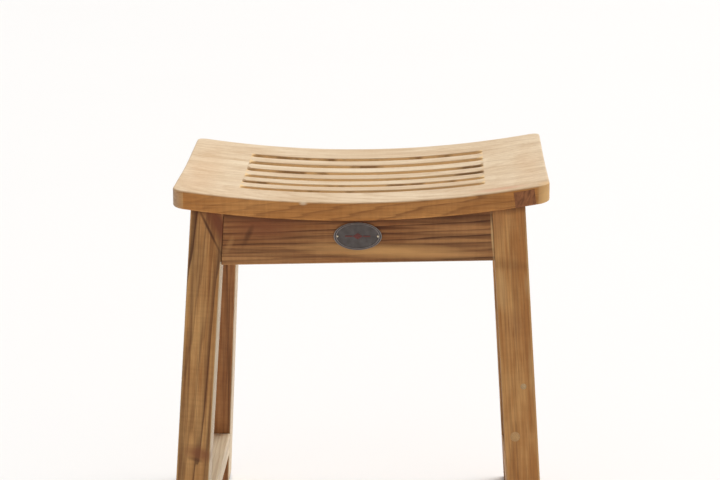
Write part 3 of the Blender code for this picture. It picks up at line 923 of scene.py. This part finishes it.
def frame_marks():
    """Dark heartwood and a knot at the left, rubbed patches at the right, shade under the seat."""
    red, dark, worn = swatch("frame_red"), swatch("frame_dark"), swatch("worn")
    gold, lean, splay = swatch("frame_light") * 1.15, math.radians(-26), -0.07
    return {
        "leg_front_left": (
            front_mark(-0.162, 0.419, 0.015, 0.040, red * 0.85, 1.0, lean),
            front_mark(-0.172, 0.409, 0.0022, 0.034, dark, 0.85, lean),
            front_mark(-0.186, 0.150, 0.020, 0.010, red, 0.7, 0.3, -0.195),
            front_mark(-0.190, 0.143, 0.010, 0.003, dark, 0.4, 0.3, -0.195),
            # Painted shade under the seat's overhang.
            front_mark(-0.175, 0.441, 0.060, 0.013, dark, 0.8),
        ),
        "leg_front_right": (
            # Painted shade under the seat's overhang.
            front_mark(0.180, 0.443, 0.060, 0.013, dark, 0.8),
            front_mark(0.160, 0.425, 0.010, 0.040, red, 0.3),
            front_mark(0.180, 0.372, 0.050, 0.009, dark, 0.22, 0.1, -0.165),
            front_mark(0.1675, 0.343, 0.008, 0.030, worn, 0.34, splay, -0.165),
            front_mark(0.196, 0.350, 0.004, 0.022, worn, 0.34, splay, -0.165),
            front_mark(0.184, 0.303, 0.014, 0.022, red, 0.22, splay, -0.170),
            front_mark(0.202, 0.253, 0.003, 0.045, worn, 0.34, splay, -0.175),
        ),
        "apron_front": (
            front_mark(-0.110, 0.416, 0.060, 0.022, red, 0.75),
            front_mark(-0.128, 0.405, 0.005, 0.018, dark, 0.6, 0.45),
            front_mark(-0.149, 0.396, 0.005, 0.013, gold, 0.25, 0.45),
            front_mark(0.030, 0.388, 0.110, 0.011, gold, 0.8, 0.03),
            front_mark(0.1562, 0.408, 0.0016, 0.036, worn, 0.8, splay),
            # Painted shade under the seat's overhang.
            front_mark(-0.010, 0.431, 0.260, 0.015, dark, 0.85),
        ),
    }


def settle_frame_piece(obj, node, axis):
    """Gives a leg or a rail the teak of its own place in the log."""
    wood = FRAME_WOOD[node]
    sawn = Sawn(centre_of(node), axis, wood.pith, wood.ring, wood.lean, wood.seed)
    marks = frame_marks().get(node, ())
    finish = teak(f"teak_{node}", sawn, frame_tones(**wood.tones), side_lit_tones(), marks=marks)
    settle(obj, [node], finish)


class STOOL_OT_legs(bpy.types.Operator):
    """Ease the long edges and the feet of the four legs"""

    bl_idname = "stool.legs"
    bl_label = "Legs"

    def execute(self, context):
        sizes = context.scene.stool_frame
        for end, front in ENDS:
            for side, right in SIDES:
                node = f"leg_{end}_{side}"
                leg = merged_node(f"teak_{node}", node)
                (x_in, x_out), (y_in, y_out) = plan_range(node)
                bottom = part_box(node)[0].z

                tall, wide = 0.02, 0.012

                def at_corner(point):
                    x, y = unsplayed(point)
                    off_x = min(abs(x - x_in), abs(x - x_out))
                    off_y = min(abs(y - y_in), abs(y - y_out))
                    return max(off_x, off_y) < 2 * NEAR

                def long_edge(a, b):
                    return at_corner(a) and at_corner(b) and abs(a.z - b.z) > tall

                def foot_edge(a, b):
                    return max(a.z, b.z) < bottom + NEAR and (a - b).length > wide

                # Painted light: the left legs' faces towards the light from the right are drawn pale cream.
                def faces_side_light(face):
                    return right < 0 and face.normal.x > 0.6 and face.center.z < APRON_LOW.z

                bevel_edges(leg, long_edge, sizes.leg_arris, 3)
                bevel_edges(leg, foot_edge, sizes.foot_arris, 2)
                slice_mesh(leg, [APRON_LOW.z], 2)
                mark_side_lit(leg, faces_side_light)
                settle_frame_piece(leg, node, leg_axis(right, front))
        return {"FINISHED"}


def taper_apron(apron, sizes):
    """The front apron was sawn a little deeper at its left end."""
    for vert in apron.data.vertices:
        if vert.co.z < APRON_LOW.z + 0.003:
            vert.co.z += sizes.apron_slope * vert.co.x - sizes.apron_drop
    apron.data.update()


class STOOL_OT_rails(bpy.types.Operator):
    """Ease the long edges of the aprons, stretchers and cleats"""

    bl_idname = "stool.rails"
    bl_label = "Aprons, stretchers and cleats"

    def execute(self, context):
        sizes = context.scene.stool_frame
        for node in (node for node in FRAME_WOOD if node not in LEGS):
            rail = merged_node(f"teak_{node}", node)
            low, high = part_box(node)
            along = 0 if high.x - low.x > high.y - low.y else 1
            body = high[along] - low[along]
            stretcher = node.startswith("stretcher")
            # Painted light: on the left stretcher, the upper face and the face towards the right are drawn
            # pale cream where the light falls.
            takes_side_light = node == "stretcher_left"

            def long_edge(a, b):
                level = abs(a.z - b.z) < 5 * NEAR
                lower = abs(a.z - low.z) < 5 * NEAR
                upper = stretcher and abs(a.z - high.z) < 5 * NEAR
                return level and (lower or upper) and abs(a[along] - b[along]) > body / 2

            bevel_edges(rail, long_edge, sizes.rail_arris, 3)
            if node == "apron_front":
                taper_apron(rail, sizes)
            mark_side_lit(rail, lambda face: takes_side_light and max(face.normal.x, face.normal.z) > 0.6)
            settle_frame_piece(rail, node, (along == 0, along == 1, 0))
        return {"FINISHED"}


# ---------------------------------------------------------------- front details


def front_out():
    """The direction that the leaning front faces look in."""
    return Vector((0, -1, bpy.context.scene.stool_frame.splay_y)).normalized()


def front_turn():
    """Turns +Z to point out of the leaning front faces."""
    out = front_out()
    right = Vector((1, 0, 0))
    return Matrix((right, out.cross(right), out)).transposed().to_4x4()


def spread_along(node, along):
    """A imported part's points, and where it starts and ends along a direction."""
    points = [vert.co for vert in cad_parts[node].data.vertices]
    places = [point.dot(along) for point in points]
    return points, min(places), max(places)


def plug_material(name, seed, match):
    """End grain; match leans it towards the leg's own colour."""
    tone = swatch("plug").lerp(swatch("frame_light"), match)
    tones = Tones(tone, tone * 0.8, swatch("edge_dark"), rings=0.3, streaks=0.2,
                  grain=0.1, pores=0.35, ripple=0.0, clouds=0.5)
    sawn = Sawn((0, 0, 0), (0, -1, 0.14), (0.02, 0.01), 0.0022, 0.0, seed)
    return teak(name, sawn, tones, None, 0.6)

class STOOL_OT_plugs(bpy.types.Operator):
    """Fit the two round wooden plugs in the right front leg"""

    bl_idname = "stool.plugs"
    bl_label = "Leg plugs"

    def execute(self, context):
        sizes = context.scene.stool_fittings
        press = 0.00012
        for seed, node, match in ((41, "leg_plug_large", 0.65), (42, "leg_plug_small", 0.0)):
            low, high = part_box(node)
            radius = (high.x - low.x) / 2 + press
            plug = add_disc(f"teak_{node}", radius, sizes.plug_length, 40, -sizes.plug_length)
            bevel_edges(plug, lambda a, b: max(abs(a.z), abs(b.z)) < NEAR, sizes.plug_arris, 2)
            place_mesh(plug, Matrix.Translation(plug_face(node)) @ front_turn())
            settle(plug, [node], plug_material(f"teak_{node}", seed, match))
        return {"FINISHED"}


def plug_face(node):
    """The middle of a plug's outer face, a hair proud of the leg."""
    proud = 0.00008
    out = front_out()
    points, _, end = spread_along(node, out)
    low, high = limits(point for point in points if end - point.dot(out) < 2 * NEAR)
    return (low + high) / 2 + out * proud


HALF_WORN = ((0.35, 0.0), (0.75, 1.0))


def badge_material():
    worn = swatch("badge_worn")
    return mottled("badge_patina", (swatch("badge"), worn), 160.0, HALF_WORN, (-0.25, 0.58),
                   grit=2200.0, metallic=0.35, worn=worn * 2.2, rough=0.5)


def metal(name, tone, roughness):
    return mottled(name, (tone, tone * 0.55), 900.0, HALF_WORN, (0.3, roughness - 0.1), metallic=1.0)


def paint(name, tone):
    return mottled(name, (tone, tone * 0.5), 700.0, ((0.45, 0.0), (0.75, 1.0)), (0.3, 0.35), depth=0)


class STOOL_OT_badge(bpy.types.Operator):
    """Make the oval plate with its two raised bands, a plain motif, and the two pins"""

    bl_idname = "stool.badge"
    bl_label = "Badge and pins"

    def execute(self, context):
        sizes = context.scene.stool_badge
        place = Matrix.Translation(badge_back()) @ front_turn()
        squash = Matrix.Diagonal((1, sizes.half_height / sizes.half_width, 1, 1))
        plate = self.plate(sizes)
        place_mesh(plate, place @ squash)
        settle(plate, ["badge_plate"], badge_material(), 50)
        mark = self.motif(sizes)
        place_mesh(mark, place)
        mark.data.materials.append(paint("badge_paint", swatch("badge_mark")))
        shade(mark, 40)
        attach(mark, BODY)
        for side, right in SIDES:
            pin = self.pin(f"brass_badge_pin_{side}", sizes)
            shift = Matrix.Translation((right * sizes.pin_spacing / 2, 0, sizes.plate))
            place_mesh(pin, place @ shift)
            brass = metal(f"pin_brass_{side}", swatch("brass"), 0.35)
            settle(pin, [f"badge_pin_{side}"], brass, 50)
        return {"FINISHED"}

    def plate(self, sizes):
        """A disc with two bands raised by inset and extrude; it is made oval afterwards."""
        plate = add_disc("zinc_badge_plate", sizes.half_width, sizes.plate, 96)
        high, arris = sizes.plate, 0.0003
        for insets in ((sizes.rim_width,), (sizes.rim_width * 0.9, sizes.rim_width)):
            for inset in insets:
                pick_faces(plate, [inner_face(plate, high)])
                edit(plate, lambda: bpy.ops.mesh.inset(thickness=inset, depth=0))
            pick_faces(plate, band_faces(plate, high))
            edit(plate, lambda: bpy.ops.mesh.extrude_region_shrink_fatten(
                TRANSFORM_OT_shrink_fatten={"value": sizes.rim_height}))
        bevel_edges(plate, lambda a, b: min(a.z, b.z) > high + sizes.rim_height / 2, arris, 2)
        return plate

    def motif(self, sizes):
        """A plain lozenge between two bars."""
        proud, sunk, arris = 0.00035, 0.0002, 0.00015
        half, away, bar_half = 0.0042, 0.0105, 0.0008
        pieces = []
        for x, half_y in ((0, half), (-away, bar_half), (away, bar_half)):
            low = (x - half, -half_y, sizes.plate - sunk)
            pieces.append(add_block("bar", low, (x + half, half_y, sizes.plate + proud)))
        squash = Matrix.Diagonal((1, 0.62, 1, 1))
        place_mesh(pieces[0], squash @ Matrix.Rotation(math.radians(45), 4, "Z"))
        for piece in pieces:
            bevel_edges(piece, lambda a, b: min(a.z, b.z) > sizes.plate, arris, 2)
        mark = join(pieces)
        mark.name = "badge_motif"
        return mark

    def pin(self, name, sizes):
        deselect()
        bpy.ops.mesh.primitive_uv_sphere_add(segments=24, ring_count=12, radius=sizes.pin_head)
        head = bpy.context.active_object
        head.name = name
        place_mesh(head, Matrix.Diagonal((1, 1, 0.62, 1)))
        keep_between(head, 0.00005, 1.0, 2)
        into_head, tip = 0.0002, 0.0004
        bottom = into_head - sizes.pin_length
        shank = add_disc("shank", sizes.pin_shank, sizes.pin_length, 16, bottom)
        bevel_edges(shank, lambda a, b: max(a.z, b.z) < -sizes.pin_length / 2, tip, 1)
        apply_boolean(head, shank, "UNION")
        discard(shank)
        return head


def level_faces(obj, height):
    """The faces that look straight up at this height."""
    return [
        face for face in obj.data.polygons
        if face.normal.z > 0.9 and abs(face.center.z - height) < 2 * WELD
    ]


def inner_face(obj, height):
    """The one flat face left in the middle at this height."""
    return max(level_faces(obj, height), key=lambda face: len(face.vertices))


def band_faces(obj, height):
    """The ring of faces round the middle one, which the last inset made."""
    middle = inner_face(obj, height)
    rim = set(middle.edge_keys)
    others = [face for face in level_faces(obj, height) if face.index != middle.index]
    return [face for face in others if rim & set(face.edge_keys)]


def pick_faces(obj, faces):
    chosen = {face.index for face in faces}
    pick(obj, "polygons", lambda face: face.index in chosen)


def badge_back():
    """The middle of the plate's back face, on the apron."""
    out = front_out()
    _, start, end = spread_along("badge_plate", out)
    return (PLATE_LOW + PLATE_HIGH) / 2 - out * ((end - start) / 2)


# ---------------------------------------------------------------- screws and pads


def screw_axis(node):
    """The head's place, the direction and the length of a screw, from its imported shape."""
    low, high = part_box(node)
    if "cleat" in node:
        along = Vector((math.copysign(1, low.x), 0, 0))
    elif "rim" in node:
        splay = bpy.context.scene.stool_frame.splay_y
        along = Vector((0, math.copysign(splay, -low.y), 1)).normalized()
    else:
        along = Vector((0, 0, 1))
    points, start, end = spread_along(node, along)
    face = [point for point in points if point.dot(along) - start < NEAR]
    return sum(face, Vector()) / len(face), along, end - start


def screw_body(name, long):
    """A countersunk screw along +Z with its head at the origin, a cross recess and a tapered tip."""
    sizes = bpy.context.scene.stool_fittings
    head, neck, tip = sizes.screw_head, sizes.screw_neck, long - sizes.screw_tip
    plain = long * 0.35
    above, recess_arris = 0.001, 0.00018
    screw = add_disc(name, head, long, 24)
    slice_mesh(screw, [sizes.screw_rim, neck, plain, tip], 2)
    for vert in screw.data.vertices:
        z = vert.co.z
        if z > neck - NEAR:
            shrink = 0.5 if z < plain + NEAR else 0.46
            if z > tip + NEAR:
                shrink = 0.06
            vert.co.x *= shrink
            vert.co.y *= shrink
    arm, wide, deep = sizes.recess_arm, sizes.recess_width, sizes.recess_depth
    cutters = [
        add_block("cross", (-x, -y, -above), (x, y, deep)) for x, y in ((arm, wide), (wide, arm))
    ]
    apply_boolean(cutters[0], cutters[1], "UNION")
    apply_boolean(screw, cutters[0])
    discard(*cutters)

    def head_rim(a, b):
        return max(a.z, b.z) < NEAR and min(a.length, b.length) > head - 2 * NEAR

    bevel_edges(screw, head_rim, recess_arris, 2)
    return screw


class STOOL_OT_screws(bpy.types.Operator):
    """Put a countersunk cross-head screw in each of the frame's screw holes"""

    bl_idname = "stool.screws"
    bl_label = "Screws"

    def execute(self, context):
        material = metal("screw_steel", swatch("steel"), 0.32)
        masters = {}
        for node in SCREWS:
            centre, along, long = screw_axis(node)
            key = round(long, 4)
            if key not in masters:
                masters[key] = screw_body("screw_master", long)
            screw = duplicate(masters[key], f"steel_{node}")
            turn = along.to_track_quat("Z", "Y").to_matrix().to_4x4()
            place_mesh(screw, Matrix.Translation(centre) @ turn)
            settle(screw, [node], material, 40)
        discard(*masters.values())
        return {"FINISHED"}


def rubber_material():
    rubber = swatch("rubber")
    dust = rubber + Vector((0.08, 0.075, 0.07))
    return mottled("foot_rubber", (rubber, dust), 180.0, ((0.45, 0.0), (0.8, 0.5)), (0.2, 0.65),
                   grit=1800.0, depth=0.0001, detail=4.0)


class STOOL_OT_pads(bpy.types.Operator):
    """Turn the four rubber foot pads, with a screw recess and a tread groove"""

    bl_idname = "stool.pads"
    bl_label = "Foot pads"

    def execute(self, context):
        sizes = context.scene.stool_fittings
        groove_outer, groove_inner = 0.78, 0.66
        core_tall, core_bottom = 0.004, -0.001
        material = rubber_material()
        for node in PADS:
            low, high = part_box(node)
            radius, tall = (high.x - low.x) / 2, high.z - low.z
            pad = add_disc(f"rubber_{node}", radius, tall, 64)
            hole = add_disc("hole", sizes.pad_hole, tall * 3, 32, -tall)
            apply_boolean(pad, hole)
            groove = add_disc("groove", radius * groove_outer, sizes.pad_groove + NEAR, 64, -NEAR)
            core = add_disc("core", radius * groove_inner, core_tall, 64, core_bottom)
            apply_boolean(groove, core)
            apply_boolean(pad, groove)
            discard(hole, groove, core)

            def rim(a, b):
                outer = min(a.xy.length, b.xy.length) > radius * 0.97
                return outer and abs(a.z - b.z) < NEAR

            bevel_edges(pad, rim, sizes.pad_arris, 3)
            middle = (low + high) / 2
            place_mesh(pad, Matrix.Translation((middle.x, middle.y, low.z)))
            settle(pad, [node], material)
        return {"FINISHED"}


# ---------------------------------------------------------------- stage


class STOOL_OT_stage(bpy.types.Operator):
    """Set the pale floor, the soft lights and the camera"""

    bl_idname = "stool.stage"
    bl_label = "Stage"

    def execute(self, context):
        scene = context.scene
        stage = scene.stool_stage
        self.floor()
        self.sky(scene, stage)
        self.sun(scene, stage)
        self.camera(scene, stage)
        scene.view_settings.view_transform = "Standard"
        return {"FINISHED"}

    def floor(self):
        deselect()
        bpy.ops.mesh.primitive_plane_add(size=400)
        floor = bpy.context.active_object
        floor.name = "floor"
        material, tree, shader = new_material("floor")
        soft = noise(tree, object_place(tree), 2.0, 0.5, 0.0, 1.2)
        tone = swatch("floor")
        tree.links.new(blend(tree, soft, tone, tone * 0.985), shader.inputs["Base Color"])
        shader.inputs["Roughness"].default_value = 0.7
        floor.data.materials.append(material)

    def sky(self, scene, stage):
        """A pale band at the horizon and a dimmer white above it."""
        world = bpy.data.worlds.new("surroundings")
        world.use_nodes = True
        tree = world.node_tree
        direction = add_node(tree, "ShaderNodeTexCoord").outputs["Generated"]
        height = add_node(tree, "ShaderNodeSeparateXYZ", {0: direction}).outputs[2]
        level = ramp(tree, height, (0.05, stage.horizon), (0.22, stage.sky))
        tree.links.new(level, tree.nodes["Background"].inputs["Color"])
        scene.world = world

    def stand(self, scene, name, data, turn, place=(0, 0, 0)):
        obj = bpy.data.objects.new(name, data)
        scene.collection.objects.link(obj)
        obj.rotation_mode = "QUATERNION"
        obj.rotation_quaternion = turn
        obj.location = place
        return obj

    def sun(self, scene, stage):
        light = bpy.data.lights.new("sun", "SUN")
        light.energy = stage.sun
        light.angle = stage.sun_spread
        light.color = (1.0, 0.99, 0.975)
        turn = Quaternion((0, 0, 1), -stage.sun_side)
        tip = Quaternion((1, 0, 0), stage.sun_height - math.pi / 2)
        self.stand(scene, "sun", light, turn @ tip)

    def camera(self, scene, stage):
        camera = bpy.data.cameras.new("camera")
        camera.lens = stage.camera_lens
        turn = Quaternion((0, 0, 1), stage.camera_pan)
        tip = Quaternion((1, 0, 0), math.pi / 2 - stage.camera_tilt)
        roll = Quaternion((0, 0, 1), stage.camera_roll)
        scene.camera = self.stand(scene, "camera", camera, turn @ tip @ roll, stage.camera_place)


# ---------------------------------------------------------------- add-on

OPERATORS = (
    STOOL_OT_seat,
    STOOL_OT_patch,
    STOOL_OT_legs,
    STOOL_OT_rails,
    STOOL_OT_plugs,
    STOOL_OT_badge,
    STOOL_OT_screws,
    STOOL_OT_pads,
    STOOL_OT_stage,
)


class STOOL_PT_panel(bpy.types.Panel):
    """Sizes, colours and building steps of the shower stool"""

    bl_label = "Shower stool"
    bl_idname = "STOOL_PT_panel"
    bl_space_type = "VIEW_3D"
    bl_region_type = "UI"
    bl_category = "Shower stool"

    def draw(self, context):
        layout = self.layout
        for name, group in GROUPS.items():
            box = layout.box()
            for key in group.__annotations__:
                box.prop(getattr(context.scene, name), key)
        for operator in OPERATORS:
            layout.operator(operator.bl_idname)


CLASSES = (*GROUPS.values(), *OPERATORS, STOOL_PT_panel)


def register():
    for cls in CLASSES:
        bpy.utils.register_class(cls)
    for name, group in GROUPS.items():
        setattr(bpy.types.Scene, name, bpy.props.PointerProperty(type=group))


def unregister():
    for name in GROUPS:
        delattr(bpy.types.Scene, name)
    for cls in reversed(CLASSES):
        bpy.utils.unregister_class(cls)


def main():
    register()
    for operator in OPERATORS:
        category, name = operator.bl_idname.split(".")
        getattr(getattr(bpy.ops, category), name)()


if __name__ == "__main__":
    main()
